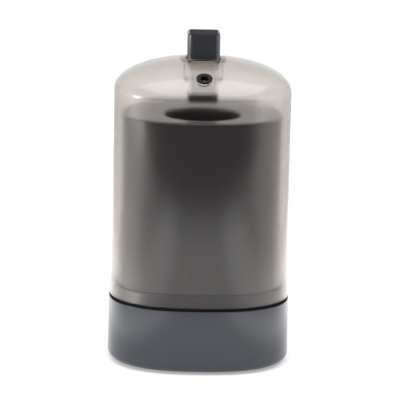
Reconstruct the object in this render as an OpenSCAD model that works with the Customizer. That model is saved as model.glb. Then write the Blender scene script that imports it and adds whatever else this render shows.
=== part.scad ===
// Push-button toothpick dispenser.
//
// A moulded base carries a dark bin of toothpicks with a round mouth on top. A smoky, domed cover drops
// over the bin and seats on the base. A sprung square button slides in a well at the top of the dome; its
// foot hangs over the mouth and loosens the toothpicks, which leave one at a time through a dark bush
// in the front of the dome. X is to the right, -Y is the front, Z is up, and z = 0 is the table.

/* [Outline] */
// Width of the body at the seam between base and cover
body_w = 65.7; // [55:0.1:80]
// Depth of the body at the seam
body_d = 56.5; // [50:0.1:75]
// Squareness of the outline: 2 is an ellipse, higher is squarer
body_n = 2.5; // [2.2:0.05:3]
// Draft of the walls, in degrees a side
draft = 0.6; // [0.2:0.1:1.2]

/* [Base] */
// Height of the cover's seat above the table
seat_z = 24.2; // [20:0.1:32]
// Wall of the base cup
base_wall = 1.8; // [1.4:0.1:2.4]
// Floor of the base cup
base_floor = 2; // [1.4:0.1:3]
// Rounding of the bottom edge
bottom_r = 2.5; // [1.5:0.1:3]
// Height of the shadow step under the cover's rim
step_h = 0.7; // [0.4:0.1:1.2]
// Depth of the shadow step
step_d = 0.7; // [0.4:0.1:0.8]

/* [Feet] */
// Diameter of a rubber foot
foot_dia = 9; // [6:0.5:11]
// Thickness of a foot
foot_t = 1.2; // [1:0.1:1.6]
// Depth of the recess that holds a foot
foot_recess = 0.4; // [0.2:0.1:0.6]
// Distance between the feet across the width
foot_pitch_x = 36; // [28:1:44]
// Distance between the feet across the depth
foot_pitch_y = 28; // [22:1:36]

/* [Tray] */
// Height of the collar above the seat
collar_h = 4.7; // [3:0.1:8]
// Wall of the collar and of the skirt below it
tray_wall = 1.2; // [1:0.1:1.6]
// Depth of the deck's top below the seat
deck_drop = 1.5; // [1:0.1:3]
// Thickness of the deck
deck_t = 1.8; // [1.2:0.1:2.4]

/* [Bin] */
// Height of the bin above the deck
bin_h = 68.3; // [60:0.1:70]
// Wall of the bin
bin_wall = 1.5; // [1.2:0.1:2]
// Thickness of the bin's top plate
bin_top_t = 1.6; // [1.2:0.1:2.4]
// Squareness of the bin's outline
bin_n = 2.6; // [2.4:0.05:3]
// Draft of the bin, in degrees a side
bin_draft = 0.25; // [0.1:0.05:0.6]
// Rounding of the bin's top edge
bin_edge_r = 0.8; // [0.4:0.1:1.2]
// Diameter of the mouth
mouth_dia = 27.5; // [20:0.5:30]
// How far the mouth's centre lies in front of the middle
mouth_y = 5.5; // [0:0.5:6]
// Chamfer round the mouth
mouth_chamfer = 0.5; // [0.2:0.1:0.8]

/* [Cover] */
// Wall of the cover
cover_wall = 1.7; // [1.3:0.1:2.2]
// Height of the straight wall above the seat
cover_straight = 74.6; // [72:0.1:84]
// Rise of the dome above the straight wall
dome_h = 12.2; // [11:0.1:16]
// Diameter of the hole for the outlet bush
outlet_dia = 5.7; // [5:0.1:6]
// How far the outlet's middle lies behind the front of the seam
outlet_inset = 6.85; // [6.3:0.05:9]

/* [Outlet bush] */
// Bore that lets one toothpick through
bush_bore = 2.8; // [2.6:0.1:3.2]
// Countersink round the bore
bush_lip = 0.4; // [0.2:0.1:0.5]
// How far the bush stands out of the dome
bush_proud = 0.2; // [0.1:0.1:0.4]
// How far the bush reaches below the dome's wall
bush_below = 0.5; // [0.3:0.1:1]

/* [Button] */
// Width of the square button
button_w = 11.7; // [11:0.1:14]
// Rounding of the button's upright corners
button_corner_r = 2.2; // [1.5:0.1:2.6]
// Rounding of the button's top edge
button_edge_r = 0.8; // [0.4:0.1:1.2]
// Height of the button above the dome's crown
button_proud = 9; // [7:0.1:12]
// How far the button's skirt reaches below the crown
button_sunk = 0.4; // [0.3:0.05:0.8]
// Wall of the button
button_wall = 0.65; // [0.6:0.05:0.8]
// Thickness of the button's top
button_top_t = 1.6; // [1.2:0.1:2]
// Travel of the button
travel = 5.5; // [3:0.1:6.5]

/* [Well] */
// Wall of the square well that guides the button
well_wall = 0.9; // [0.8:0.1:1.4]
// Floor of the well
well_floor = 1.2; // [1:0.1:1.6]

/* [Guide sleeve] */
// Thickness of the sleeve's flange
flange_t = 1; // [0.8:0.1:1.4]
// How far the sleeve reaches below the well
sleeve_below = 4.3; // [3.5:0.1:4.5]

/* [Plunger] */
// Diameter of the stem
stem_dia = 6; // [5:0.1:6.4]
// Depth of the socket that holds the stem in the button
socket_depth = 4; // [3:0.1:4.5]
// Wall round that socket
socket_wall = 1; // [0.8:0.1:1.2]
// Width of the square foot on the stem
gate_w = 11; // [10.8:0.1:12.4]
// Rounding of the foot's upright corners
gate_corner_r = 1.4; // [0.8:0.1:1.8]
// Height of the foot
gate_h = 3.5; // [3:0.1:3.8]
// Diameter of the screw that holds the foot
screw_dia = 2; // [1.6:0.1:2.4]
// Length of the screw under its head
screw_l = 7; // [5:0.5:9]
// Diameter of the screw's head
screw_head_dia = 3.8; // [3.4:0.1:4.2]
// Height of the screw's head
screw_head_h = 1.3; // [1:0.1:1.5]

/* [Return spring] */
// Diameter of the spring's wire
wire_dia = 0.6; // [0.4:0.05:0.65]
// Number of turns
spring_turns = 6; // [4:1:6]
// Gap between the stem and the spring
spring_gap = 0.35; // [0.25:0.05:0.5]

/* [Clearances] */
// Gap a side between moulded pieces that plug together
fit_gap = 0.15; // [0.1:0.05:0.25]
// Gap a side between the cover and the collar
cover_gap = 0.2; // [0.15:0.05:0.3]
// Gap a side between the button and its well
button_gap = 0.2; // [0.15:0.05:0.35]
// Gap a side between the button and the sleeve that it slides on
slide_gap = 0.1; // [0.05:0.05:0.15]
// Radial gap round the spring and the socket in the sleeve
pocket_gap = 0.25; // [0.2:0.05:0.3]
// Radial running gap of the stem in its sleeve
stem_gap = 0.08; // [0.04:0.01:0.1]
// End gap between the foot and the sleeve, and over the pressed button's stop
stop_gap = 0.1; // [0.05:0.05:0.2]
// Radial gap round the screw's head
head_gap = 0.2; // [0.1:0.05:0.3]

/* [Hidden] */

// Points round an outline, and steps up a rounded edge, round a corner and up the dome
outline_points = 72;
edge_steps = 4;
corner_steps = 6;
dome_steps = 10;
// The dome's rings stop here, inside the button's aperture
dome_last_angle = 80;
// Sides of the spring's wire, and rings in a turn of it
wire_sides = 6;
rings_per_turn = 20;
// A cut runs this far past the face that it opens
cut = 1;
$fn = 64;

// Levels, from the table up
base_bottom = foot_t - foot_recess;
floor_z = base_bottom + base_floor;
step_z = seat_z - step_h;
collar_z = seat_z + collar_h;
deck_z = seat_z - deck_drop;
bin_z = deck_z + bin_h;
shoulder_z = seat_z + cover_straight;
crown_z = shoulder_z + dome_h;
button_z = crown_z + button_proud;
skirt_z = crown_z - button_sunk;
flange_z = skirt_z - travel - stop_gap;
well_z = flange_z - flange_t;
well_bottom = well_z - well_floor;
sleeve_bottom = well_bottom - sleeve_below;
gate_top = sleeve_bottom - stop_gap;
gate_bottom = gate_top - gate_h;
ceiling_z = button_z - button_top_t;
sleeve_top = ceiling_z - travel - 2 * stop_gap;
stem_top = ceiling_z - stop_gap;
socket_z = stem_top - socket_depth;
screw_head_z = gate_bottom + gate_h / 2;

// Half sizes of the outline, as [across, deep]
function body_half(z) = [body_w, body_d] / 2 - [1, 1] * (z - seat_z) * tan(draft);
function inset(half, by) = half - [1, 1] * by;
cup_inner = inset([body_w, body_d] / 2, base_wall);
collar_outer = inset(body_half(collar_z), max(base_wall + fit_gap, cover_wall + cover_gap));
collar_inner = inset(collar_outer, tray_wall);
function bin_half(z) = inset(collar_inner, fit_gap + (z - deck_z) * tan(bin_draft));

// The outlet sits where the dome's ellipse passes outlet_y, square to the surface
dome_half = body_half(shoulder_z);
outlet_y = body_d / 2 - outlet_inset;
outlet_rise = dome_h * sqrt(1 - pow(outlet_y / dome_half.y, 2));
outlet_tilt = atan(pow(dome_h / dome_half.y, 2) * outlet_y / outlet_rise);

well_w = button_w + 2 * button_gap;
well_corner_r = button_corner_r + button_gap;
cap_w = button_w - 2 * button_wall;
cap_corner_r = button_corner_r - button_wall;
sleeve_w = cap_w - 2 * slide_gap;
sleeve_corner_r = cap_corner_r - slide_gap;
spring_r = stem_dia / 2 + spring_gap + wire_dia / 2;
socket_r = stem_dia / 2 + socket_wall;
pocket_r = max(spring_r + wire_dia / 2, socket_r) + pocket_gap;

// One ring of an outline: a superellipse of the given half sizes and squareness at height z
function oval_ring(half, n, z) = [
    for (i = [0:outline_points - 1])
        let (a = 360 * i / outline_points,
             r = pow(pow(abs(cos(a)) / half.x, n) + pow(abs(sin(a)) / half.y, n), -1 / n))
        [r * cos(a), r * sin(a), z]
];

// One ring of a square with rounded corners at height z
function square_ring(w, corner_r, z) = [
    for (corner = [0:3], i = [0:corner_steps])
        let (a = 90 * (corner + i / corner_steps),
             side = w / 2 - corner_r)
        [side * (corner == 0 || corner == 3 ? 1 : -1) + corner_r * cos(a),
         side * (corner < 2 ? 1 : -1) + corner_r * sin(a), z]
];

// A closed solid through rings of equal length, with flat ends
module loft(rings) {
    m = len(rings[0]);
    last = len(rings) - 1;
    polyhedron(
        points = [for (ring = rings) each ring],
        faces = [
            [for (i = [m - 1:-1:0]) i],
            for (k = [0:last - 1], i = [0:m - 1])
                let (j = (i + 1) % m, lo = k * m, hi = lo + m)
                each [[lo + i, lo + j, hi + j], [lo + i, hi + j, hi + i]],
            [for (i = [0:m - 1]) last * m + i]
        ],
        convexity = 8);
}

// A square with rounded corners, drawn with true arcs
module rounded_square(w, corner_r) {
    square([w, w - 2 * corner_r], center = true);
    square([w - 2 * corner_r, w], center = true);
    for (x = [-1, 1], y = [-1, 1])
        translate([x, y] * (w / 2 - corner_r)) circle(r = corner_r);
}

// Places its children on the outlet's axis, where it leaves the dome
module at_outlet() {
    translate([0, -outlet_y, shoulder_z + outlet_rise]) rotate([outlet_tilt, 0, 0]) children();
}

// Places its children at the four feet
module at_feet() {
    for (x = [-1, 1], y = [-1, 1])
        translate([x * foot_pitch_x / 2, y * foot_pitch_y / 2, 0]) children();
}

// Outer cup of the base: floor, drafted wall, rounded bottom edge and the step that shadows the seam
module base_cup() {
    edge = [for (i = [0:edge_steps]) 90 * i / edge_steps];
    rings = concat(
        [oval_ring(cup_inner, body_n, floor_z),
         oval_ring(cup_inner, body_n, seat_z),
         oval_ring(inset(body_half(seat_z), step_d), body_n, seat_z),
         oval_ring(inset(body_half(step_z), step_d), body_n, step_z),
         oval_ring(body_half(step_z), body_n, step_z)],
        [for (a = edge)
            let (z = base_bottom + bottom_r * (1 - sin(a)))
            oval_ring(inset(body_half(base_bottom + bottom_r), bottom_r * (1 - cos(a))), body_n, z)]);
    color([0.27, 0.29, 0.33])
        difference() {
            loft(rings);
            at_feet() translate([0, 0, base_bottom - cut]) cylinder(d = foot_dia, h = cut + foot_recess);
        }
}

// Four rubber pads in the recesses of the cup
module base_feet() {
    color([0.12, 0.12, 0.13])
        at_feet() cylinder(d = foot_dia, h = foot_t);
}

// Inner tray: a skirt that stands in the cup, the deck under the toothpicks, and the collar above
module base_tray() {
    color([0.16, 0.16, 0.17])
        loft([oval_ring(collar_inner, bin_n, deck_z),
              oval_ring(collar_inner, bin_n, collar_z),
              oval_ring(collar_outer, body_n, collar_z),
              oval_ring(collar_outer, body_n, floor_z),
              oval_ring(collar_inner, bin_n, floor_z),
              oval_ring(collar_inner, bin_n, deck_z - deck_t)]);
}

// Bin for the toothpicks: a drafted sleeve with a top plate and the round mouth
module hopper() {
    inner = inset(bin_half(deck_z), bin_wall);
    inner_top = inset(bin_half(bin_z), bin_wall);
    rings = concat(
        [for (i = [edge_steps:-1:0])
            let (a = 90 * i / edge_steps)
            oval_ring(inset(bin_half(bin_z), bin_edge_r * (1 - cos(a))), bin_n,
                      bin_z - bin_edge_r * (1 - sin(a)))],
        [oval_ring(bin_half(deck_z), bin_n, deck_z),
         oval_ring(inner, bin_n, deck_z),
         oval_ring(inner_top, bin_n, bin_z - bin_top_t)]);
    color([0.15, 0.15, 0.16])
        difference() {
            loft(rings);
            translate([0, -mouth_y, bin_z - bin_top_t - cut])
                cylinder(d = mouth_dia, h = bin_top_t + 2 * cut);
            translate([0, -mouth_y, bin_z - mouth_chamfer])
                cylinder(r1 = mouth_dia / 2, r2 = mouth_dia / 2 + mouth_chamfer, h = mouth_chamfer);
        }
}

// Rings of the cover's outer or inner face, from the rim to the top of the dome
function cover_rings(by) = concat(
    [oval_ring(inset(body_half(seat_z), by), body_n, seat_z)],
    [for (i = [0:dome_steps])
        let (a = dome_last_angle * i / dome_steps)
        oval_ring(inset(dome_half, by) * cos(a), body_n, shoulder_z + (dome_h - by) * sin(a))]);

// Smoky cover: drafted wall, dome, the square well of the button and the outlet hole
module cover() {
    outer = cover_rings(0);
    inner = cover_rings(cover_wall);
    rings = concat([for (i = [len(outer) - 1:-1:0]) outer[i]], inner);
    well_top = crown_z - cover_wall / 2;
    color([0.55, 0.52, 0.5, 0.45])
        difference() {
            union() {
                loft(rings);
                translate([0, 0, well_bottom])
                    linear_extrude(well_top - well_bottom)
                        rounded_square(well_w + 2 * well_wall, well_corner_r + well_wall);
            }
            translate([0, 0, well_z])
                linear_extrude(crown_z + cut - well_z) rounded_square(well_w, well_corner_r);
            translate([0, 0, well_bottom - cut])
                linear_extrude(well_floor + 2 * cut)
                    rounded_square(sleeve_w + 2 * fit_gap, sleeve_corner_r + fit_gap);
            at_outlet() cylinder(d = outlet_dia, h = 4 * cover_wall, center = true);
        }
}

// Dark bush in the dome, with a bore that is long enough to keep the toothpicks in line
module outlet_bush() {
    low = -cover_wall - bush_below;
    outer_r = outlet_dia / 2 - fit_gap;
    color([0.1, 0.1, 0.11])
        at_outlet()
            difference() {
                union() {
                    translate([0, 0, low]) cylinder(r = outer_r, h = -low);
                    cylinder(r1 = outer_r, r2 = outer_r - bush_proud, h = bush_proud);
                }
                translate([0, 0, low - cut]) cylinder(d = bush_bore, h = bush_proud - low + 2 * cut);
                translate([0, 0, bush_proud - bush_lip])
                    cylinder(r1 = bush_bore / 2, r2 = bush_bore / 2 + bush_lip, h = bush_lip);
            }
}

// Milky sleeve: it hangs by its flange in the well, guides the stem, holds the spring in a pocket, and
// the button slides down over it
module guide_sleeve() {
    color([0.8, 0.79, 0.76])
        difference() {
            union() {
                translate([0, 0, sleeve_bottom])
                    linear_extrude(sleeve_top - sleeve_bottom) rounded_square(sleeve_w, sleeve_corner_r);
                translate([0, 0, well_z])
                    linear_extrude(flange_t)
                        rounded_square(well_w - 2 * fit_gap, well_corner_r - fit_gap);
            }
            translate([0, 0, sleeve_bottom - cut])
                cylinder(r = stem_dia / 2 + stem_gap, h = well_z - sleeve_bottom + 2 * cut);
            translate([0, 0, well_z]) cylinder(r = pocket_r, h = sleeve_top - well_z + cut);
        }
}

// Return spring round the stem, from the floor of the sleeve's pocket to the socket of the button
module return_spring() {
    low = well_z + wire_dia / 2;
    high = socket_z - wire_dia / 2;
    steps = spring_turns * rings_per_turn;
    rings = [for (k = [0:steps])
        let (a = 360 * k / rings_per_turn, z = low + (high - low) * k / steps)
        [for (i = [0:wire_sides - 1])
            let (b = 360 * i / wire_sides, r = spring_r + wire_dia / 2 * cos(b))
            [r * cos(a), r * sin(a), z + wire_dia / 2 * sin(b)]]];
    color([0.75, 0.75, 0.77])
        loft(rings);
}

// Square button: a hollow cap with a socket for the stem
module button_cap() {
    edge = [for (i = [edge_steps:-1:0]) 90 * i / edge_steps];
    rings = concat(
        [for (a = edge)
            let (by = button_edge_r * (1 - cos(a)))
            square_ring(button_w - 2 * by, button_corner_r - by, button_z - button_edge_r * (1 - sin(a)))],
        [square_ring(button_w, button_corner_r, skirt_z)]);
    color([0.23, 0.24, 0.27])
        difference() {
            loft(rings);
            difference() {
                translate([0, 0, skirt_z - cut])
                    linear_extrude(ceiling_z - skirt_z + cut) rounded_square(cap_w, cap_corner_r);
                translate([0, 0, socket_z]) cylinder(r = socket_r, h = ceiling_z - socket_z + cut);
            }
            translate([0, 0, socket_z - cut])
                cylinder(d = stem_dia, h = stem_top - socket_z + cut);
        }
}

// Round stem between the button and the foot
module plunger_stem() {
    color([0.2, 0.2, 0.22])
        difference() {
            translate([0, 0, gate_top]) cylinder(d = stem_dia, h = stem_top - gate_top);
            translate([0, 0, gate_top - cut])
                cylinder(d = screw_dia, h = cut + screw_head_z + screw_l - gate_top);
        }
}

// Square foot over the mouth; its screw head lies in a counterbore
module plunger_foot() {
    color([0.2, 0.2, 0.22])
        difference() {
            translate([0, 0, gate_bottom])
                linear_extrude(gate_h) rounded_square(gate_w, gate_corner_r);
            translate([0, 0, gate_bottom - cut]) cylinder(d = screw_dia, h = gate_h + 2 * cut);
            translate([0, 0, gate_bottom - cut])
                cylinder(r = screw_head_dia / 2 + head_gap, h = cut + screw_head_z - gate_bottom);
        }
}

// Screw up through the foot into the stem
module foot_screw() {
    color([0.7, 0.7, 0.72])
        union() {
            translate([0, 0, screw_head_z - screw_head_h])
                cylinder(d = screw_head_dia, h = screw_head_h);
            translate([0, 0, screw_head_z - screw_head_h / 2])
                cylinder(d = screw_dia, h = screw_l + screw_head_h / 2);
        }
}

base_cup();
base_feet();
base_tray();
hopper();
cover();
outlet_bush();
guide_sleeve();
return_spring();
button_cap();
plunger_stem();
plunger_foot();
foot_screw();
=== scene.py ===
# %% [markdown]
# # A push-button toothpick dispenser
#
# The real thing is about a dozen small pieces, nearly all of them injection mouldings. A blue-grey
# base, a dark bin, a smoky domed cover and a sprung square button are the ones that show. They are
# drafted tubes with rounded edges, so nearly every piece here is made the same way: a stack of closed
# outlines, one above the other, skinned with quads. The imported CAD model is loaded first. It gives the
# places, and the pieces below are put over it.

# %% Load the frame
import math

import bpy
import numpy as np
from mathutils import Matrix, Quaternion, Vector


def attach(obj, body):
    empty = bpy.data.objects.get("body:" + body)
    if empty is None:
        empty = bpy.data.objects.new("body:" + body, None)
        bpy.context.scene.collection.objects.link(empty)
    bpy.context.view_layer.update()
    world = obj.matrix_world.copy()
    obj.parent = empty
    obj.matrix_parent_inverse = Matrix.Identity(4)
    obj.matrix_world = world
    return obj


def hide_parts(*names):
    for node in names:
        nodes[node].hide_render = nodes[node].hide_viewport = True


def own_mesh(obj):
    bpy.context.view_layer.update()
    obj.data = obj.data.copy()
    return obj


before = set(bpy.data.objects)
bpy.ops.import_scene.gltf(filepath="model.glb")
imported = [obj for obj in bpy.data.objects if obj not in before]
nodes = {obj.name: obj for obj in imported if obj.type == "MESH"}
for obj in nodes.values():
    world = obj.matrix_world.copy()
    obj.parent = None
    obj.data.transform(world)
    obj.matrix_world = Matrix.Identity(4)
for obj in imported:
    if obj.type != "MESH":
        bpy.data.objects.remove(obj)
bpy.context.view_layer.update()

# %% [markdown]
# ## The camera
#
# The photograph was taken from about 0.85 m with a long lens, a little above the object. A camera can
# be aimed by hand, but here its place comes from numbers that were fitted to the outline, the seam and
# the edges of the bin. The small roll is real too: in the photograph the object leans to the right.

# %% Place the camera
distance, half_height, aim_right, aim_up = 0.850, 0.060, -0.00018, -0.00182
elevation, azimuth, roll = (math.radians(degrees) for degrees in (12.45, -1.4, 1.2))
back = Vector((math.sin(azimuth) * math.cos(elevation),
               -math.cos(azimuth) * math.cos(elevation),
               math.sin(elevation)))
turn = (-back).to_track_quat("-Z", "Y") @ Quaternion((0, 0, 1), roll)
right, up = turn @ Vector((1, 0, 0)), turn @ Vector((0, 1, 0))
middle = Vector((0, 0, half_height)) + right * aim_right + up * aim_up

camera = bpy.data.objects.new("camera", bpy.data.cameras.new("camera"))
bpy.context.scene.collection.objects.link(camera)
camera.data.lens, camera.data.sensor_width = 210.3, 36.0
camera.data.clip_start, camera.data.clip_end = 0.05, 20.0
camera.rotation_mode = "QUATERNION"
camera.rotation_quaternion = turn
camera.location = middle + back * distance
bpy.context.scene.camera = camera
print("camera at", tuple(round(v, 3) for v in camera.location))

# %% [markdown]
# ## Outlines
#
# Seen from above the body is neither a rectangle nor an ellipse but something between: a superellipse.
# The button is a square with rounded corners. Both could be drawn with curve objects, but as formulas
# of the angle they share one fan of rays, so any outline can be blended into any other without a twist.

# %% Outline formulas
AROUND, BODY_SHAPE = 288, 2.5
angle = np.linspace(0, 2 * np.pi, AROUND, endpoint=False)
ray = np.stack([np.cos(angle), np.sin(angle)], axis=1)


def oval(half, squareness=BODY_SHAPE):
    """Superellipse: along each ray the radius is (|cos/a|^n + |sin/b|^n) to the power -1/n."""
    sides = np.abs(ray / np.asarray(half)) ** squareness
    return ray * (sides.sum(axis=1) ** (-1 / squareness))[:, None]


def circle(radius, y=0.0):
    """Circle round the point (0, y): the rays times the radius, moved by y."""
    return ray * radius + (0.0, y)


def rounded_square(width, corner):
    """Square with rounded corners: a ray meets the flat side at half/cos, or else the corner's arc,
    which lies at side*(cos+sin) + sqrt(r^2 - side^2*(cos-sin)^2), side being half minus r."""
    long, short = np.abs(ray).max(axis=1), np.abs(ray).min(axis=1)
    half, side = width / 2, width / 2 - corner
    arc = side * (long + short) + np.sqrt(np.maximum(corner**2 - (side * (long - short)) ** 2, 0))
    return ray * np.where(half * short / long <= side, half / long, arc)[:, None]


button_corner = np.hypot(*rounded_square(11.7, 2.2)[AROUND // 8])
print("corner of the 11.7 mm button lies", round(float(button_corner), 2), "mm out")

# %% [markdown]
# ## Profiles with rounded corners
#
# No moulded edge is sharp: the tool is rounded so that the plastic flows, and the rounded edge catches
# the light. A Bevel modifier would do it, but it needs clean corners all round. Here the profile is
# rounded before it is carried round the outline, so each edge gets the radius that the real one has.

# %% Rounded profile
def rounded_profile(corners, radii, steps=5):
    """Polyline with an arc for each inner corner. The arc starts and ends r/tan(half the corner's
    angle) from the corner, and its points are blended on the circle between those two ends."""
    corners = np.asarray(corners, float)
    points = [corners[:1]]
    for before, corner, after, radius in zip(corners, corners[1:], corners[2:], radii):
        to_before = (before - corner) / np.linalg.norm(before - corner)
        to_after = (after - corner) / np.linalg.norm(after - corner)
        half = np.arccos(np.clip(to_before @ to_after, -1, 1)) / 2
        inward = (to_before + to_after) / np.linalg.norm(to_before + to_after)
        centre = corner + inward * radius / np.sin(half)
        first = corner + to_before * radius / np.tan(half) - centre
        last = corner + to_after * radius / np.tan(half) - centre
        sweep, t = np.pi - 2 * half, np.linspace(0, 1, steps + 1)[:, None]
        arc = (np.sin((1 - t) * sweep) * first + np.sin(t * sweep) * last) / np.sin(sweep)
        points.append(centre + arc)
    return np.concatenate([*points, corners[-1:]])


print("a rounded corner has", len(rounded_profile([(0, 0), (1, 0), (1, 1)], [0.2])), "points")

# %% [markdown]
# ## From outlines to a mesh
#
# A stack of outlines is a grid: one parameter runs round the outline and the other along the profile.
# Neighbouring grid points make quads. The profile either runs back to its start, as on a ring-shaped
# piece, or ends in the middle at both ends, where a fan of triangles closes it.

# %% Skin helpers
MM = 0.001


def level(outline, z):
    """One ring of the stack: an outline in millimetres at height z."""
    return np.column_stack([outline, np.broadcast_to(z, len(outline))])


def blend(first, last, steps):
    """Outlines between two others, without the two themselves: straight blends at equal steps."""
    t = np.linspace(0, 1, steps + 2)[1:-1, None, None]
    return first + (last - first) * t


def quads(rings, across, first=0, loop=False):
    """Corner numbers of the quads of a grid whose rings follow each other from number `first`."""
    k = np.arange(rings if loop else rings - 1)[:, None]
    i = np.arange(across)[None, :]
    below, above = k * across, (k + 1) % rings * across
    side = (i + 1) % across
    corners = np.stack([below + i, below + side, above + side, above + i], axis=-1)
    return first + corners.reshape(-1, 4)


def stack(rings, closed=True):
    """Points and faces of a stack of rings. A closed one joins its last ring to its first; the others
    get a point in the middle of each end, with a fan of triangles to it."""
    rings = np.asarray(rings)
    count, around = rings.shape[:2]
    points = rings.reshape(-1, 3)
    faces = quads(count, around, loop=closed).tolist()
    if not closed:
        i = np.arange(around)
        side, last = (i + 1) % around, (count - 1) * around
        start_pole, end_pole = np.full(around, len(points)), np.full(around, len(points) + 1)
        faces += np.stack([side, i, start_pole], axis=1).tolist()
        faces += np.stack([last + i, last + side, end_pole], axis=1).tolist()
        points = np.concatenate([points, [rings[0].mean(axis=0)], [rings[-1].mean(axis=0)]])
    return points, faces


tube = stack([level(circle(1.0), z) for z in (0, 1, 2)], closed=False)
print("three rings closed by fans have", len(tube[1]), "faces")

# %% [markdown]
# ## From a mesh to a piece of the model
#
# Each mesh hangs on the body that it moves with, stands in for one piece of the CAD model and gets
# its finish. Some pieces have faces in a second finish, such as the matt pad on the button.
# A second object could carry them, but on a real moulding it is one skin, so the faces are chosen by
# where their centres lie.

# %% Piece helpers
def make_piece(name, points, faces, body, material, replaces, slot, sharp=38):
    """Puts points in millimetres and a list of faces into a mesh, and hangs it on a body."""
    mesh = bpy.data.meshes.new(name)
    mesh.from_pydata((np.asarray(points) * MM).tolist(), [], faces)
    mesh.shade_smooth()
    mesh.set_sharp_from_angle(angle=math.radians(sharp))
    mesh.materials.append(material)
    piece = bpy.data.objects.new(name, mesh)
    bpy.context.scene.collection.objects.link(piece)
    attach(piece, body)
    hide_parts(replaces)
    size = np.ptp(np.asarray(points), axis=0)
    print(f"{name}: {len(mesh.polygons)} faces, {size[0]:.1f} x {size[1]:.1f} x {size[2]:.1f} mm")
    return piece


def mark_faces(piece, material, where):
    """Gives the faces whose centres (x, y, z in millimetres) pass a test another material."""
    centres = np.empty(len(piece.data.polygons) * 3)
    piece.data.polygons.foreach_get("center", centres)
    chosen = where(*centres.reshape(-1, 3).T / MM)
    piece.data.materials.append(material)
    piece.data.polygons.foreach_set("material_index", chosen.astype(np.int32))
    print(f"{piece.name}: {int(chosen.sum())} faces in {material.name}")


print("lengths are in millimetres below, and each times", MM, "in the scene")

# %% [markdown]
# ## Small shader helpers
#
# A finish is a graph of nodes. Typing each node out makes the graphs hard to read, so a few small
# functions do the common steps: a range turned into another with a soft start and end, sums, the place
# on the piece, and a mix of two shaders.

# %% Node helpers
def map_range(tree, source, low, high, to_low=0.0, to_high=1.0):
    """Map Range node: carries `source` from low..high to to_low..to_high and stops at both ends."""
    node = tree.nodes.new("ShaderNodeMapRange")
    node.interpolation_type = "SMOOTHSTEP"
    for name, value in (("From Min", low), ("From Max", high), ("To Min", to_low), ("To Max", to_high)):
        node.inputs[name].default_value = value
    tree.links.new(source, node.inputs["Value"])
    return node.outputs["Result"]


def math_node(tree, operation, first, second=None):
    """Math node of one source or two, the second of which may be a number."""
    node = tree.nodes.new("ShaderNodeMath")
    node.operation = operation
    tree.links.new(first, node.inputs[0])
    if isinstance(second, float):
        node.inputs[1].default_value = second
    elif second is not None:
        tree.links.new(second, node.inputs[1])
    return node.outputs[0]


def product(tree, first, *others):
    """Math nodes that multiply all the sources."""
    for other in others:
        first = math_node(tree, "MULTIPLY", first, other)
    return first


def object_place(tree):
    """Object coordinates in metres, and each of the three on its own."""
    place, parts = tree.nodes.new("ShaderNodeTexCoord"), tree.nodes.new("ShaderNodeSeparateXYZ")
    tree.links.new(place.outputs["Object"], parts.inputs["Vector"])
    return place.outputs["Object"], parts.outputs["X"], parts.outputs["Y"], parts.outputs["Z"]


def clear_shader(tree, share=1.0):
    """Transparent shader that lets through this share of the light."""
    node = tree.nodes.new("ShaderNodeBsdfTransparent")
    node.inputs["Color"].default_value = (share, share, share, 1.0)
    return node.outputs["BSDF"]


def mix_shaders(tree, share, first, second):
    """Mix Shader node: the first shader where the share is 0, the second where it is 1."""
    node = tree.nodes.new("ShaderNodeMixShader")
    for source, socket in zip((share, first, second), node.inputs):
        tree.links.new(source, socket)
    return node.outputs["Shader"]


print("node helpers:", [f.__name__ for f in (map_range, math_node, product, object_place,
                                             clear_shader, mix_shaders)])

# %% [markdown]
# ## Moulded plastic
#
# Every plastic here is one shader with two layers of noise. A fine one is the texture of the steel
# mould, which breaks a highlight up very slightly. A broad one is the waviness and the uneven gloss
# of a thin moulding as it shrinks. Both read Object coordinates, in metres, so they have a real scale.

# %% Plastic material
BROAD_SCALE, NOISE_LOW, NOISE_HIGH = 70.0, 0.3, 0.7


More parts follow.
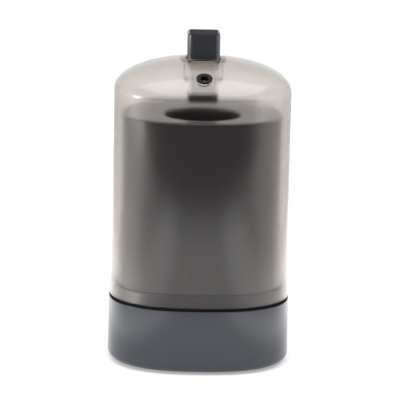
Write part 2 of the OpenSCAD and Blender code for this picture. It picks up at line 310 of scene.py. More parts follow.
def plastic(name, colour, roughness, grain=2200.0, grain_depth=0.000004, mottling=0.03,
            gloss_change=0.02, wave_depth=0.000006, **sockets):
    """Principled shader: colour times a broad noise, roughness plus the same noise, and a bump of the
    fine noise over the bump of the broad one. Other sockets are set as they are given."""
    material = bpy.data.materials.new(name)
    material.use_nodes = True
    tree = material.node_tree
    shader = tree.nodes["Principled BSDF"]
    place = tree.nodes.new("ShaderNodeTexCoord")

    def noise(scale, detail):
        node = tree.nodes.new("ShaderNodeTexNoise")
        node.inputs["Scale"].default_value = scale
        node.inputs["Detail"].default_value = detail
        tree.links.new(place.outputs["Object"], node.inputs["Vector"])
        return node.outputs["Fac"]

    broad, fine = noise(BROAD_SCALE, 3.0), noise(grain, 2.0)

    ramp = tree.nodes.new("ShaderNodeValToRGB")
    for stop, position, factor in zip(ramp.color_ramp.elements, (NOISE_LOW, NOISE_HIGH),
                                      (1 - mottling, 1 + mottling)):
        stop.color = (*[min(1.0, c * factor) for c in colour], 1.0)
        stop.position = position
    tree.links.new(broad, ramp.inputs["Fac"])
    tree.links.new(ramp.outputs["Color"], shader.inputs["Base Color"])

    gloss = tree.nodes.new("ShaderNodeMapRange")
    for socket, value in (("From Min", NOISE_LOW), ("From Max", NOISE_HIGH),
                          ("To Min", roughness - gloss_change / 2),
                          ("To Max", roughness + gloss_change / 2)):
        gloss.inputs[socket].default_value = value
    tree.links.new(broad, gloss.inputs["Value"])
    tree.links.new(gloss.outputs["Result"], shader.inputs["Roughness"])

    wave, skin = tree.nodes.new("ShaderNodeBump"), tree.nodes.new("ShaderNodeBump")
    for bump, depth, height in ((wave, wave_depth, broad), (skin, grain_depth, fine)):
        bump.inputs["Strength"].default_value = 1.0
        bump.inputs["Distance"].default_value = depth
        tree.links.new(height, bump.inputs["Height"])
    tree.links.new(wave.outputs["Normal"], skin.inputs["Normal"])
    tree.links.new(skin.outputs["Normal"], shader.inputs["Normal"])

    for socket, value in sockets.items():
        shader.inputs[socket.replace("_", " ")].default_value = value
    return material


print("the broad noise has a wavelength of", round(1000 / BROAD_SCALE), "mm")

# %% [markdown]
# ## The opaque finishes
#
# All these colours are dark: a gloss plastic gets most of its brightness from what it mirrors. The
# lowest 2 mm of the base are painted lighter, as painted light from the table under the rounded edge.
# Three finishes have no gloss at all. The gap and the bore are painted near black, as painted shade,
# for hardly any light comes out of them, and a gloss there would draw bright lines. The button's
# finger pad is etched matt.

# %% Opaque finishes
def paint_shading_by_height(material, from_mm, to_mm, factor):
    """Multiplies the base colour by 1 below `from_mm` and by the factor above `to_mm`, with a soft
    step between. With from above to, it is the part below that changes."""
    tree = material.node_tree
    target = tree.nodes["Principled BSDF"].inputs["Base Color"]
    share = map_range(tree, object_place(tree)[3], from_mm * MM, to_mm * MM, 1.0, factor)
    times = tree.nodes.new("ShaderNodeVectorMath")
    times.operation = "SCALE"
    tree.links.new(target.links[0].from_socket, times.inputs[0])
    tree.links.new(share, times.inputs["Scale"])
    tree.links.new(times.outputs[0], target)


base_finish = plastic("blue_grey_plastic", (0.019, 0.0245, 0.0370), 0.18, Specular_IOR_Level=0.7)
# painted light: the lowest 2 mm of the base are 1.7 times lighter, for light from the table under the
# edge
paint_shading_by_height(base_finish, 2.6, 1.6, 1.7)
# painted shade: a near-black matt colour for the seam's gap, the cover's rim in it and the bush's bore
painted_gap_shade = plastic("painted_gap_shade_black", (0.020, 0.020, 0.022), 0.70, Specular_IOR_Level=0.0)
tray_finish = plastic("black_tray_plastic", (0.030, 0.030, 0.032), 0.40)
bin_finish = plastic("dark_bin_plastic", (0.041, 0.0425, 0.0470), 0.20)
button_finish = plastic("slate_button_plastic", (0.038, 0.039, 0.045), 0.26, Specular_IOR_Level=0.9)
pad_finish = plastic("matt_pad_plastic", (0.036, 0.037, 0.042), 0.75, Specular_IOR_Level=0.0)
plunger_finish = plastic("dark_plunger_plastic", (0.045, 0.045, 0.046), 0.38)
bush_finish = plastic("black_bush_plastic", (0.030, 0.030, 0.029), 0.65, Specular_IOR_Level=0.0)
rubber_finish = plastic("foot_rubber", (0.020, 0.020, 0.021), 0.75, grain=5000.0, grain_depth=0.00004)
print("opaque finishes:", [finish.name for finish in (
    base_finish, painted_gap_shade, tray_finish, bin_finish, button_finish, pad_finish, plunger_finish,
    bush_finish, rubber_finish)])

# %% [markdown]
# ## Smoky and milky plastic
#
# The cover is clear polystyrene with a little smoke dye. Alpha would be quicker, but it doesn't bend
# the light, and it is the bending that draws the rim down both sides. So the cover transmits light, and
# the dye sits in the wall as volume absorption: the longer the way through the wall, the darker and
# warmer it looks. The side that the mould's core made is duller than the outside, which an attribute
# of the mesh tells the shader. The guide sleeve is the same kind of resin with white in it.

# %% Transparent finishes
WALL, DYE, DYE_DENSITY = 1.7, (0.32, 0.144, 0.0), 122.0


def dye(material, colour, density):
    """Absorption inside the wall: what is left of the light is exp(-density * (1 - colour) * path)."""
    inside = material.node_tree.nodes.new("ShaderNodeVolumeAbsorption")
    inside.inputs["Color"].default_value = (*colour, 1.0)
    inside.inputs["Density"].default_value = density
    output = material.node_tree.nodes["Material Output"]
    material.node_tree.links.new(inside.outputs[0], output.inputs["Volume"])


def let_light_in(material, share):
    """Rays on their way from a surface inside to a lamp go straight through the wall, each face taking
    its share. Bent rays would seldom meet a lamp, and what is inside would look too dark."""
    tree = material.node_tree
    way, clear = tree.nodes.new("ShaderNodeLightPath"), clear_shader(tree, share)
    surface = tree.nodes["Principled BSDF"].outputs["BSDF"]
    for kind in ("Is Shadow Ray", "Is Diffuse Ray"):
        surface = mix_shaders(tree, way.outputs[kind], surface, clear)
    tree.links.new(surface, tree.nodes["Material Output"].inputs["Surface"])


def frost_inside(material, attribute, roughness):
    """The duller gloss of the mould's core: the roughness is at least this times the attribute."""
    tree = material.node_tree
    shader = tree.nodes["Principled BSDF"]
    where = tree.nodes.new("ShaderNodeAttribute")
    where.attribute_name = attribute
    least = math_node(tree, "MULTIPLY", where.outputs["Fac"], roughness)
    outside = shader.inputs["Roughness"].links[0].from_socket
    tree.links.new(math_node(tree, "MAXIMUM", outside, least), shader.inputs["Roughness"])


smoky_finish = plastic("smoky_clear_plastic", (0.99, 0.99, 0.99), 0.08, mottling=0.005,
                       grain_depth=0.000001, wave_depth=0.000004, Transmission_Weight=1.0, IOR=1.46)
dye(smoky_finish, DYE, DYE_DENSITY)
let_light_in(smoky_finish, 0.98)
frost_inside(smoky_finish, "core_side", 0.20)
milky_finish = plastic("milky_plastic", (0.97, 0.97, 0.965), 0.40, mottling=0.01,
                       Subsurface_Weight=0.15, Subsurface_Scale=0.001,
                       Subsurface_Radius=(1.0, 1.0, 1.0))
# painted shade: the sleeve's colour is darker below its flange, where less light reaches it
paint_shading_by_height(milky_finish, 105.5, 104.0, 0.86)  # less light reaches it below its flange
clearness = [math.exp(-DYE_DENSITY * (1 - channel) * WALL * MM) for channel in DYE]
print("one smoky wall lets through", [round(share, 2) for share in clearness])

# %% [markdown]
# ## Wire and screw steel
#
# Spring wire is drawn through a die, so its scratches run along it, and a small screw is rolled and
# then zinc plated. At this size both read as bright metal with a slightly cloudy gloss.

# %% Steel
def steel(name, colour, roughness):
    """Metallic shader whose roughness follows a fine noise, as on drawn or plated steel."""
    return plastic(name, colour, roughness, grain=4000.0, mottling=0.08, gloss_change=0.12,
                   wave_depth=0.000003, Metallic=1.0)


spring_finish = steel("spring_wire_steel", (0.62, 0.61, 0.60), 0.28)
screw_finish = steel("plated_screw_steel", (0.66, 0.64, 0.60), 0.34)
print("steels:", spring_finish.name, screw_finish.name)

# %% [markdown]
# ## The walls of the body
#
# Base and cover share one drafted wall: the mould opens upward, so each side leans in by 0.6 degrees.
# All later pieces ask this one formula for the outline at their height.

# %% Body outline
CUP_FOOT, SEAT, SHOULDER = 0.8, 24.2, 98.8
DRAFT = math.tan(math.radians(0.6))
seam_half = np.array([32.85, 28.25])


def body_half(z, inset=0.0):
    """Half width and half depth of the body at height z: they shrink by the draft with the height."""
    return seam_half - inset - (z - SEAT) * DRAFT


print("body at its foot and at the shoulder, mm:", (body_half(CUP_FOOT) * 2).round(2),
      (body_half(SHOULDER) * 2).round(2))

# %% [markdown]
# ## The base cup
#
# The cup is a bucket with a thick rounded bottom edge. Just under the cover's rim its wall steps back
# by 0.7 mm. That step is the dark line between base and cover, which hides any mismatch of the two.
# The step's faces are painted black and matt, as painted shade, so that the narrow gap mirrors nothing
# of the bright room.

# %% Base cup
STEP, FLOOR_TOP = 23.5, 2.8
cup_profile = rounded_profile(
    [(8.0, CUP_FOOT), (-0.245, CUP_FOOT), (-0.0073, STEP), (0.7, STEP), (0.7, SEAT), (1.8, SEAT),
     (1.8, FLOOR_TOP), (8.0, FLOOR_TOP)], [2.5, 0.25, 0.1, 0.15, 0.3, 1.0], steps=6)
cup = stack([level(oval(seam_half - inset), z) for inset, z in cup_profile], closed=False)
cup_piece = make_piece("base_cup_shell", *cup, "base", base_finish, "base_cup", "base_plastic")
# painted shade: the step's faces get the near-black gap colour
mark_faces(cup_piece, painted_gap_shade, lambda x, y, z: z > STEP - 0.03)

# %% [markdown]
# ## The rubber feet
#
# Four soft pads keep the dispenser from sliding when the button is pressed. Each is a punched disc
# with a rounded edge and a shallow dish in the middle, which grips like a small suction cup.

# %% Feet
SPARSE = 6  # a small round form needs only every sixth ray
foot_profile = rounded_profile([(3.2, 0.12), (3.5, 0.0), (4.5, 0.0), (4.5, 1.2), (0.5, 1.2)],
                               [0.2, 0.35, 0.1], 4)
foot_points, foot_faces = stack([level(circle(radius)[::SPARSE], z) for radius, z in foot_profile],
                                closed=False)
foot_places = np.array([(x, y, 0) for x in (-18, 18) for y in (-14, 14)])
feet_points = (foot_places[:, None] + foot_points).reshape(-1, 3)
feet_faces = [[corner + k * len(foot_points) for corner in face]
              for k in range(len(foot_places)) for face in foot_faces]
make_piece("base_feet_pads", feet_points, feet_faces, "base", rubber_finish, "base_feet", "foot_rubber")

# %% [markdown]
# ## The tray
#
# The tray stands in the cup. Its deck carries the toothpicks, and its collar locates the bin inside
# and the cover outside. Only the collar shows, as a faint line 5 mm above the seam.

# %% Tray
COLLAR_TOP, DECK = 28.9, 22.7
collar_half = body_half(COLLAR_TOP) - 1.95
collar_hole = collar_half - 1.2
BIN_SHAPE = 2.6  # the bin and the hole that takes it are a little squarer than the body
under = rounded_profile([(8.0, 20.9), (0.0, 20.9), (0.0, FLOOR_TOP)], [0.5], 3)
outside = rounded_profile([(0.2, FLOOR_TOP), (0.0, 3.0), (0.0, COLLAR_TOP), (0.6, COLLAR_TOP)],
                          [0.05, 0.35], 3)
inside = rounded_profile([(-0.4, COLLAR_TOP), (0.0, COLLAR_TOP), (0.0, DECK), (8.0, DECK)],
                         [0.3, 0.5], 3)
tray = stack([level(oval(collar_hole - inset, BIN_SHAPE), z) for inset, z in under]
             + [level(oval(collar_half - inset), z) for inset, z in outside]
             + [level(oval(collar_hole - inset, BIN_SHAPE), z) for inset, z in inside], closed=False)
make_piece("base_tray_deck", *tray, "base", tray_finish, "base_tray", "tray_plastic")

# %% [markdown]
# ## The bin
#
# A drafted sleeve with a top plate. The round mouth sits in front of the middle, under the button's
# foot. Its plate is a blend from the outline of the bin to the circle of the mouth.

# %% Bin
def bin_half(z, inset=0.0):
    """Half sizes of the bin at height z: the collar's hole less a fitting gap and the draft."""
    return collar_hole - 0.15 - inset - (z - DECK) * math.tan(math.radians(0.25))


PLATE, PLATE_UNDER, MOUTH, MOUTH_Y = 91.0, 89.4, 13.75, -5.5
bin_outside = rounded_profile([(0.3, DECK), (0.0, 23.0), (0.0, PLATE), (3.0, PLATE)], [0.1, 0.8], 6)
mouth_profile = rounded_profile([(1.5, PLATE), (0.0, PLATE), (0.0, PLATE_UNDER), (1.5, PLATE_UNDER)],
                                [0.5, 0.2], 6)
bin_inside = rounded_profile([(3.0, PLATE_UNDER), (1.5, PLATE_UNDER), (1.5, 23.0), (1.2, DECK)],
                             [0.6, 0.1], 4)
rings = [level(oval(bin_half(z, inset), BIN_SHAPE), z) for inset, z in bin_outside]
mouth = [level(circle(MOUTH + out, MOUTH_Y), z) for out, z in mouth_profile]
ceiling = [level(oval(bin_half(z, inset), BIN_SHAPE), z) for inset, z in bin_inside]
hopper = stack([*rings, *blend(rings[-1], mouth[0], 4), *mouth,
                *blend(mouth[-1], ceiling[0], 4), *ceiling])
make_piece("hopper_bin", *hopper, "base", bin_finish, "hopper", "bin_plastic")

# %% [markdown]
# ## The cover's dome
#
# The dome is part of an ellipsoid over the superellipse of the shoulder. Its height is worked out from
# x and y, so any ring may lie on it, whatever its outline: round the body at the shoulder, square at
# the button's well. The inner face is the same formula, one wall smaller.

# %% Dome formula
RISE = 12.2
shoulder_half = body_half(SHOULDER)


def dome_height(xy, inset=0.0):
    """Height over the shoulder: the rise times sqrt(1 - c^2), c being how far out (x, y) lies, 0 in the
    middle and 1 on the shoulder's superellipse."""
    out = ((np.abs(xy) / (shoulder_half - inset)) ** BODY_SHAPE).sum(axis=-1) ** (1 / BODY_SHAPE)
    return SHOULDER + (RISE - inset) * np.sqrt(np.maximum(1 - out**2, 0))


def on_dome(outline, inset=0.0):
    """A ring of any outline laid on the dome, or on the dome that is smaller by the inset."""
    return level(outline, dome_height(outline, inset))


dome_angles = np.radians(np.linspace(0, 68, 41))
print("dome's crown at", dome_height(np.zeros(2)), "mm")

# %% [markdown]
# ## The cover, rim to rim
#
# One path runs from the rim up the outside, over the dome, down the square well of the button, out
# through the hole for the sleeve, back up outside the well, and down the inside to the rim. Because it
# ends where it starts, the cover is one closed skin with a real wall, as glass needs to bend light.
# One extra ring just above the rim keeps the rounding's smooth shading out of the tall wall.

# %% Cover rings
RIM_RING, WALL_TOP = 24.75, 75.0
outer_wall = [level(oval(body_half(z, inset)), z)
              for inset, z in rounded_profile([(0.5, SEAT), (0.0, SEAT), (0.0, WALL_TOP)], [0.35], 5)]
outer_wall.insert(-1, level(oval(body_half(RIM_RING)), RIM_RING))
outer_dome = [level(oval(shoulder_half * math.cos(a)), SHOULDER + RISE * math.sin(a))
              for a in dome_angles]
quarter = np.radians([0, 22.5, 45, 67.5, 90])

# The well's upper edge is rounded by 0.35 mm, and its root under the dome by 0.8 mm.
well_mouth = on_dome(rounded_square(12.8, 2.75))
well_edge = [level(rounded_square(12.1 + 0.7 * (1 - math.sin(a)), 2.4 + 0.35 * (1 - math.sin(a))),
                   well_mouth[:, 2] - 0.35 * (1 - math.cos(a))) for a in quarter]
well = [level(rounded_square(width, corner), z) for width, corner, z in (
    (12.1, 2.4, 107.0), (12.1, 2.4, 104.25), (12.0, 2.35, 104.08), (11.8, 2.25, 104.0),
    (10.7, 1.7, 104.0), (10.5, 1.6, 103.9), (10.5, 1.6, 102.95), (10.8, 1.75, 102.8),
    (13.3, 3.0, 102.8), (13.7, 3.2, 102.88), (13.9, 3.3, 103.1), (13.9, 3.3, 106.0))]
ceiling_edge = on_dome(rounded_square(15.5, 4.1), WALL)
well_root = [level(rounded_square(13.9 + 1.6 * (1 - math.cos(a)), 3.3 + 0.8 * (1 - math.cos(a))),
                   ceiling_edge[:, 2] - 0.8 * (1 - math.sin(a))) for a in quarter]

inner_dome = [level(oval((shoulder_half - WALL) * math.cos(a)), SHOULDER + (RISE - WALL) * math.sin(a))
              for a in dome_angles[::-1]]
inner_wall = [level(oval(body_half(z, inset)), z)
              for inset, z in rounded_profile([(WALL, WALL_TOP), (WALL, SEAT), (1.2, SEAT)], [0.3], 5)]
crown = [on_dome(outline[:, :2]) for outline in blend(outer_dome[-1], well_mouth, 7)]
vault = [on_dome(outline[:, :2], WALL) for outline in blend(ceiling_edge, inner_dome[0], 5)]
cover_rings = [*outer_wall, *outer_dome, *crown, *well_edge, *well, *well_root, *vault,
               *inner_dome, *inner_wall]
print("the cover has", len(cover_rings), "rings of", AROUND)

# %% [markdown]
# ## The outlet hole
#
# The outlet sits in a 5.7 mm hole, square to the front of the dome. A Boolean would cut it,
# but it leaves long thin triangles that spoil the reflections of clear plastic. Instead a block of
# quads is left out of both faces, and a fan of rings runs from the block's border to the hole's edge,
# through the wall, and out to the border of the inner block.

# %% Outlet hole
HOLE, HOLE_EDGE, CLOSING_RATE = 2.85, 0.25, 1.142
tilt = math.radians(28.895)
hole_centre, across = np.array([0.0, -21.4, 106.449]), np.array([1.0, 0.0, 0.0])
axis = np.array([0.0, -math.sin(tilt), math.cos(tilt)])
upward = np.array([0.0, math.cos(tilt), math.sin(tilt)])
front = AROUND * 3 // 4
first_row, last_row, first_col, last_col = 12, 31, front - 10, front + 10
high, wide = last_row - first_row, last_col - first_col
rows = np.concatenate([np.full(wide, first_row), np.arange(first_row, last_row),
                       np.full(wide, last_row), np.arange(last_row, first_row, -1)])
cols = np.concatenate([np.arange(first_col, last_col), np.full(high, last_col),
                       np.arange(last_col, first_col, -1), np.full(high, first_col)])
outer_start = len(outer_wall)
inner_start = len(cover_rings) - len(inner_wall) - len(inner_dome)
skin_points = np.asarray(cover_rings).reshape(-1, 3)
outer_border = (outer_start + rows) * AROUND + cols
inner_border = (inner_start + len(dome_angles) - 1 - rows) * AROUND + cols
offset = skin_points[outer_border] - hole_centre
bearing = np.arctan2(offset @ upward, offset @ across)


def hole_ring(radius, inset=0.0, sunk=0.0):
    """Where a cylinder of this radius round the hole's axis meets the dome, moved `sunk` inward along
    the axis. Each point slides along the axis by its height error over the closing rate, till it lies
    on the dome."""
    ring = radius * (np.cos(bearing)[:, None] * across + np.sin(bearing)[:, None] * upward)
    ring = hole_centre + ring
    for _ in range(12):
        ring = ring - ((ring[:, 2] - dome_height(ring[:, :2], inset)) / CLOSING_RATE)[:, None] * axis
    return ring - sunk * axis


thickness = ((hole_ring(HOLE) - hole_ring(HOLE, WALL)) @ axis).mean()
print("the hole's wall is", round(float(thickness), 2), "mm thick")

# %% [markdown]
# ## The outlet's fan of rings
#
# The fan's rings lie on the dome too: only their x and y are blended, and the height comes from the
# formula. A straight blend in space would leave a flat spot round the hole, which clear plastic shows.
# The edge of the hole is rounded by a quarter of a millimetre on both faces.

# %% Outlet fan
def edge_ring(a, inset, side):
    """Ring of the hole's rounded edge: the radius grows by edge * (1 - sin a), and the ring sinks by
    edge * (1 - cos a) towards the middle of the wall, `side` being 1 outside and -1 inside."""
    return hole_ring(HOLE + HOLE_EDGE * (1 - math.sin(a)), inset, side * HOLE_EDGE * (1 - math.cos(a)))


edge_angles = np.radians([0, 30, 60, 90])
outer_edge, inner_edge = hole_ring(HOLE + HOLE_EDGE), hole_ring(HOLE + HOLE_EDGE, WALL)
fan = [on_dome(ring[:, :2]) for ring in blend(skin_points[outer_border], outer_edge, 6)]
fan += [edge_ring(a, 0.0, 1) for a in edge_angles]
fan += [edge_ring(a, WALL, -1) for a in edge_angles[::-1]]
fan += [on_dome(ring[:, :2], WALL) for ring in blend(inner_edge, skin_points[inner_border], 6)]
fan_start, fan_size = len(skin_points), len(rows)
print("the fan has", len(fan), "rings of", fan_size)

# %% [markdown]
# ## The cover's mesh
#
# The quads of the stack, less the two blocks, and the fan make one closed skin. Then it gets its
# finish beyond the shape. The rim in the seam is painted black and matt, painted shade like the step
# under it.
# The core's side is marked as duller, in an attribute that the finish reads. The well has only 0.3 of
# that, because at full strength its walls draw a strong frame round the pale sleeve.

# %% Cover mesh
skin = quads(len(cover_rings), AROUND, loop=True)
face_row, face_col = np.divmod(np.arange(len(skin)), AROUND)
in_col = (face_col >= first_col) & (face_col < last_col)
in_outer = (face_row >= outer_start + first_row) & (face_row < outer_start + last_row)
far_inner = inner_start + len(dome_angles) - 1
in_inner = (face_row >= far_inner - last_row) & (face_row < far_inner - first_row)
skin = skin[~(in_col & (in_outer | in_inner))]


def bridge(border, ring):
    """Quads between a border's point numbers and a ring's, both in the same order."""
    return np.stack([border, np.roll(border, -1), np.roll(ring, -1), ring], axis=1)


first_ring = fan_start + np.arange(fan_size)
last_ring = first_ring + (len(fan) - 1) * fan_size
cover_faces = np.concatenate([skin, bridge(outer_border, first_ring),
                              quads(len(fan), fan_size, fan_start), bridge(last_ring, inner_border)])
cover_points = np.concatenate([skin_points, *fan])
cover = make_piece("cover_shell", cover_points, cover_faces.tolist(), "cover", smoky_finish,
                   "cover", "smoky_plastic")
# painted shade: the cover's rim in the seam is black and matt
mark_faces(cover, painted_gap_shade, lambda x, y, z: z < RIM_RING + 0.01)

crown_end = len(outer_wall) + len(outer_dome) + len(crown)
well_end = crown_end + len(well_edge) + len(well) + len(well_root)
core_side = np.zeros(len(cover_points), np.float32)
core_side[crown_end * AROUND:fan_start] = 1.0
core_side[(crown_end + 2) * AROUND:well_end * AROUND] = 0.3
core_side[fan_start + len(fan) // 2 * fan_size:] = 1.0
cover.data.attributes.new("core_side", "FLOAT", "POINT").data.foreach_set("value", core_side)
print("core side:", int((core_side == 1).sum()), "of", len(core_side), "points")

# %% [markdown]
# ## The outlet bush
#
# A dark bush is pressed into the hole. Its bore lets one toothpick through. From most angles a long
# narrow bore shows only its own wall, in shade, so that wall is painted black and matt as painted shade,
# and the outlet reads as black. It is a turned form: a profile round the hole's own axis instead of the
# vertical one.

# %% Outlet bush
BORE_EDGE = 1.55
bush_profile = rounded_profile(
    [(2.2, -2.2), (2.7, -2.2), (2.7, 0.2), (1.8, 0.2), (1.4, -0.25), (1.4, -2.2), (2.2, -2.2)],
    [0.2, 0.25, 0.12, 0.2, 0.15], 4)[:-1]
few = ray[::SPARSE]
bush_rings = [hole_centre + radius * (few[:, :1] * across + few[:, 1:] * upward) + along * axis
              for radius, along in bush_profile]
bush = make_piece("outlet_bush_ring", *stack(bush_rings), "cover", bush_finish,
                  "outlet_bush", "plunger_plastic")


def in_bore(x, y, z):
    """Whether a point is nearer to the hole's axis than the bore's edge: |p - (p . axis) axis| is
    less, p being the point from the hole's centre."""
    point = np.stack([x, y, z], axis=-1) - hole_centre
    return np.linalg.norm(point - (point @ axis)[:, None] * axis, axis=1) < BORE_EDGE


# painted shade: the bore's wall gets the near-black gap colour
mark_faces(bush, painted_gap_shade, in_bore)

# %% [markdown]
# ## The guide sleeve
#
# A milky square sleeve hangs in the well by its flange. It guides the stem, holds the spring in a
# pocket and goes up into the hollow button, which slides down over it. It shows as a pale band from the
# button to the foot.

# %% Guide sleeve
sleeve = [level(rounded_square(width, corner), z) for width, corner, z in (
    (9.7, 1.2, 98.5), (10.05, 1.38, 98.57), (10.2, 1.45, 98.8), (10.2, 1.45, 104.0),
    (11.5, 2.1, 104.0), (11.8, 2.25, 104.15), (11.8, 2.25, 104.85), (11.7, 2.2, 104.96),
    (11.5, 2.1, 105.0), (10.4, 1.55, 105.0), (10.2, 1.45, 105.15), (10.2, 1.45, 112.5),
    (10.1, 1.4, 112.65), (9.9, 1.3, 112.7))]
bore = [level(circle(radius), z) for radius, z in (
    (4.4, 112.7), (4.25, 112.55), (4.25, 104.2), (4.1, 104.0), (3.3, 104.0), (3.08, 103.8),
    (3.08, 98.8), (3.4, 98.5))]
make_piece("guide_sleeve_plug", *stack([*sleeve, *bore]), "cover", milky_finish,
           "guide_sleeve", "milky_plastic")

# %% [markdown]
# ## The return spring
#
# The spring pushes the button back up. The formula carries a small circle along a helix. Real springs
# have their end turns closed so that they stand flat, so the pitch is gentle at both ends. The spring
# is built at rest; when the real button goes down it is squashed towards its lower end.

# %% Spring
def coil(turns, radius, low, high, wire, per_turn=40, sides=12):
    """Tube along a helix. Height goes from low to high as t - sin(2 pi t)/(2 pi) * 0.75, so the ends
    are nearly flat, and the tube's circle stands in the plane through the axis."""
    t = np.linspace(0, 1, turns * per_turn + 1)[:, None]
    b = np.linspace(0, 2 * np.pi, sides, endpoint=False)[None, :]
    around = 2 * np.pi * turns * t
    height = low + (high - low) * (t - 0.75 * np.sin(2 * np.pi * t) / (2 * np.pi))
    out = radius + wire / 2 * np.cos(b)
    x, y, z = out * np.cos(around), out * np.sin(around), height + wire / 2 * np.sin(b)
    return np.stack([x, y, z], axis=-1)


spring = make_piece("return_spring_coil", *stack(coil(6, 3.65, 104.3, 114.0, 0.6), closed=False),
                    "cover", spring_finish, "return_spring", "spring_steel", sharp=80)
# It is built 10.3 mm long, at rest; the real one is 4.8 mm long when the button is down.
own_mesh(spring)

# %% [markdown]
# ## The button
#
# A square cap with thin walls, hollow from below, with a round socket for the stem. The upright corners
# and the top edge are rounded, and on the real one they carry two pale streaks from the lamps at the
# sides. The rounded_square formula gives both faces, the inner corner being smaller by the wall. The
# finger pad on top is matt, with the edge in front of it. The rounded edges at the sides and at the
# back keep their gloss, which draws the bright line there.

# %% Button
CAP, CAP_CORNER, CAP_FOOT, CAP_TOP = 11.7, 2.2, 110.6, 120.0
PAD_SIDE, PAD_BACK, PAD_DOWN_TO = 5.1, 4.9, 119.4


def square_level(inset, z):
    """Ring of the button at a distance inside its outline, the corner shrinking with it."""
    return level(rounded_square(CAP - 2 * inset, max(CAP_CORNER - inset, 0.5)), z)


socket = [level(circle(radius), z) for radius, z in (
    (2.7, 118.3), (3.0, 118.1), (3.0, 114.5), (3.15, 114.3), (3.85, 114.3), (4.0, 114.45),
    (4.0, 118.4))]
cap_inside = [square_level(inset, z) for inset, z in rounded_profile(
    [(0.95, 118.4), (0.65, 118.1), (0.65, CAP_FOOT), (0.4, CAP_FOOT)], [0.1, 0.15], 3)]
cap_outside = [square_level(inset, z) for inset, z in rounded_profile(
    [(0.3, CAP_FOOT), (0.0, CAP_FOOT), (0.0, CAP_TOP), (3.0, CAP_TOP)], [0.2, 0.8], 7)]
cap_top = [square_level(inset, CAP_TOP - dish) for inset, dish in ((4.0, 0.04), (5.0, 0.06))]
cap_rings = [*socket, *cap_inside, *cap_outside, *cap_top]
cap = make_piece("button_cap_shell", *stack(cap_rings, closed=False), "plunger", button_finish,
                 "button_cap", "button_plastic")
mark_faces(cap, pad_finish,
           lambda x, y, z: (z > PAD_DOWN_TO) & (np.abs(x) < PAD_SIDE) & (y < PAD_BACK))

# %% [markdown]
# ## The plunger's foot
#
# The foot hangs over the mouth and dips into it when the button is pressed, which loosens the
# toothpicks. A screw holds it to the stem from below, in a counterbore. Stem and screw keep their CAD
# shapes, which are plain turned forms, and only get a finish.

# %% Plunger foot
foot_side = [level(rounded_square(11 - 2 * inset, 1.4 - inset), z) for inset, z in rounded_profile(
    [(1.0, 94.9), (0.0, 94.9), (0.0, 98.4), (1.0, 98.4)], [0.3, 0.3], 4)]
foot_bore = [level(circle(radius), z) for radius, z in (
    (1.2, 98.4), (1.0, 98.2), (1.0, 96.65), (2.1, 96.65), (2.1, 95.1), (2.3, 94.9))]
make_piece("plunger_foot_block", *stack([*foot_side, *foot_bore]), "plunger", plunger_finish,
           "plunger_foot", "plunger_plastic")
for name, finish in (("plunger_stem", plunger_finish), ("foot_screw", screw_finish)):
    nodes[name].data.materials.clear()
    nodes[name].data.materials.append(finish)
    print(name, "keeps its CAD shape, in", finish.name)

# %% [markdown]
# ## The studio
#
# Product photographs like this are taken on a white board with soft boxes at the sides and a dark room
# behind the camera. The board ends some 30 cm in front of the object, and that edge is what the
# upright walls mirror: pale low down, dark higher up. So the floor fades out in front, and far away. It
# also shines a little, by how a ray came to it: straight from the camera, by a mirroring outer face, or
# out of the clear cover after a mirroring inside it. A bare white board under these few lamps would
# come out grey, and one brightness for all rays would turn the dark bin milky.

# %% Floor
FADE_START, FADE_END = 0.235, 0.39


def plain_view(tree):
    """1 for the camera's rays and for rays that reach the camera through clear walls alone, 0 for rays
    that were mirrored on the way or that light the object."""
    path = tree.nodes.new("ShaderNodeLightPath").outputs
    seen = math_node(tree, "MAXIMUM", path["Is Camera Ray"], path["Is Transmission Ray"])
    return product(tree, seen, math_node(tree, "LESS_THAN", path["Glossy Depth"], 0.5))


def studio_board():
    """White board that shines by the kind of ray and by |x| and y of the Object coordinates, and fades
    to nothing in front, by y, and far from the object, by the distance."""
    material = bpy.data.materials.new("studio_board")
    material.use_nodes = True
    tree = material.node_tree
    shader = tree.nodes["Principled BSDF"]
    for socket, value in (("Base Color", (0.70, 0.70, 0.70, 1)), ("Roughness", 0.9),
                          ("Specular IOR Level", 0.1), ("Emission Color", (1, 1, 1, 1))):
        shader.inputs[socket].default_value = value
    place, x, y, _ = object_place(tree)
    reach = tree.nodes.new("ShaderNodeVectorMath")
    reach.operation = "LENGTH"
    tree.links.new(place, reach.inputs[0])
    sideways = math_node(tree, "ABSOLUTE", x)
    path = tree.nodes.new("ShaderNodeLightPath").outputs

    direct = math_node(tree, "MULTIPLY", path["Is Camera Ray"], 0.35)
    # Mirrored by an outer face: weak next to the object, strong a little beside it, none far out.
    outside = product(tree, path["Is Glossy Ray"], path["Is Reflection Ray"],
                      map_range(tree, sideways, 0.045, 0.09, 0.34, 1.2),
                      map_range(tree, sideways, 0.12, 0.22, 1.0, 0.0))
    # Mirrored inside, and out through both faces of the cover: a weak light, more beside the object.
    beside = product(tree, map_range(tree, sideways, 0.12, 0.20, 0.0, 1.5),
                     map_range(tree, y, -0.14, -0.04), map_range(tree, sideways, 0.28, 0.36, 1.0, 0.0))
    inside = product(tree, path["Is Transmission Ray"],
                     math_node(tree, "GREATER_THAN", path["Glossy Depth"], 0.5),
                     math_node(tree, "GREATER_THAN", path["Transmission Depth"], 3.5),
                     math_node(tree, "ADD", beside, 0.38))
    lift = math_node(tree, "MAXIMUM", direct, math_node(tree, "MAXIMUM", outside, inside))
    tree.links.new(lift, shader.inputs["Emission Strength"])

    fade = math_node(tree, "MAXIMUM", map_range(tree, y, -FADE_START, -FADE_END),
                     map_range(tree, reach.outputs["Value"], 0.45, 0.9))
    board = mix_shaders(tree, fade, shader.outputs["BSDF"], clear_shader(tree))
    tree.links.new(board, tree.nodes["Material Output"].inputs["Surface"])
    return material


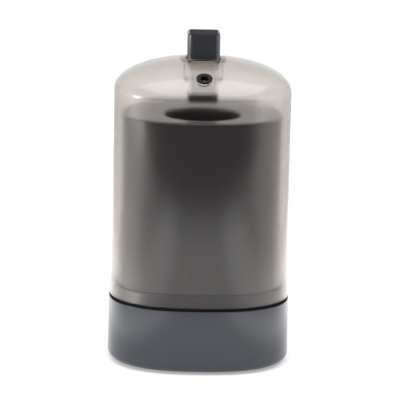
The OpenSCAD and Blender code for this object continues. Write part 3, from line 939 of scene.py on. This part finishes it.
floor_mesh = bpy.data.meshes.new("studio_floor")
floor_mesh.from_pydata([(-1, -0.4, 0), (1, -0.4, 0), (1, 1, 0), (-1, 1, 0)], [], [(0, 1, 2, 3)])
floor = bpy.data.objects.new("studio_floor", floor_mesh)
bpy.context.scene.collection.objects.link(floor)
floor_mesh.materials.append(studio_board())
print("floor fades out between", FADE_START, "and", FADE_END, "m in front of the object")

# %% [markdown]
# ## The room
#
# The world's brightness for lighting and for mirrored rays depends on the direction: full behind, a
# little more at the sides, and nearly dark in front, which keeps the middle of the dark bin dark. The
# camera, and rays that only passed through clear walls, see plain white, so the background is as white
# as the photograph's from every side. An even white world would be simpler, but dark gloss plastic
# would look pale in it.

# %% World
DARK_FRONT, BRIGHT_SIDES = 0.03, 1.15
world = bpy.context.scene.world or bpy.data.worlds.new("studio")
bpy.context.scene.world = world
world.use_nodes = True
tree = world.node_tree
background = tree.nodes["Background"]
place, parts = tree.nodes.new("ShaderNodeTexCoord"), tree.nodes.new("ShaderNodeSeparateXYZ")
tree.links.new(place.outputs["Generated"], parts.inputs["Vector"])
room = product(tree, map_range(tree, parts.outputs["Y"], -0.85, -0.25, DARK_FRONT, 1.0),
               map_range(tree, math_node(tree, "ABSOLUTE", parts.outputs["X"]), 0.75, 0.97,
                         1.0, BRIGHT_SIDES))
strength = tree.nodes.new("ShaderNodeMix")
strength.data_type = "FLOAT"
tree.links.new(plain_view(tree), strength.inputs["Factor"])
tree.links.new(room, strength.inputs["A"])
strength.inputs["B"].default_value = 1.0
background.inputs["Color"].default_value = (1, 1, 1, 1)
tree.links.new(strength.outputs["Result"], background.inputs["Strength"])
print("world strength:", DARK_FRONT, "in front, 1.0 behind,", BRIGHT_SIDES, "at the sides")

# %% [markdown]
# ## The lamps
#
# A small box low at the left draws the spark on the dome's shoulder, and a large weak one at the right
# draws the sheen there. A very large box overhead, a little in front, does most of the lighting and
# draws the broad bright zone on the dome. Point lamps would need no size, but it is the size of an area
# lamp that sets how soft its highlight is.
# The view transform is Standard, which leaves white as white.

# %% Soft boxes
def soft_box(name, place, size, watts, target=(0, 0, 0.08)):
    """Rectangular area lamp at a place, turned to face its target, all in metres."""
    lamp = bpy.data.lights.new(name, "AREA")
    lamp.shape, lamp.size, lamp.size_y, lamp.energy = "RECTANGLE", *size, watts
    holder = bpy.data.objects.new(name, lamp)
    bpy.context.scene.collection.objects.link(holder)
    holder.location = place
    holder.rotation_euler = (Vector(target) - Vector(place)).to_track_quat("-Z", "Y").to_euler()


soft_box("left_box", (-0.93, -0.26, 0.15), (0.26, 0.15), 2.4)
soft_box("right_box", (0.90, -0.25, 0.28), (0.7, 0.4), 0.8)
soft_box("top_box", (0.02, -0.40, 1.0), (1.6, 1.4), 12.5, (0.02, -0.40, 0.0))
bpy.context.scene.view_settings.view_transform = "Standard"

# %% [markdown]
# ## Finish
#
# The dressed model must keep the size of the CAD model.

# %% Finish
bpy.context.view_layer.update()
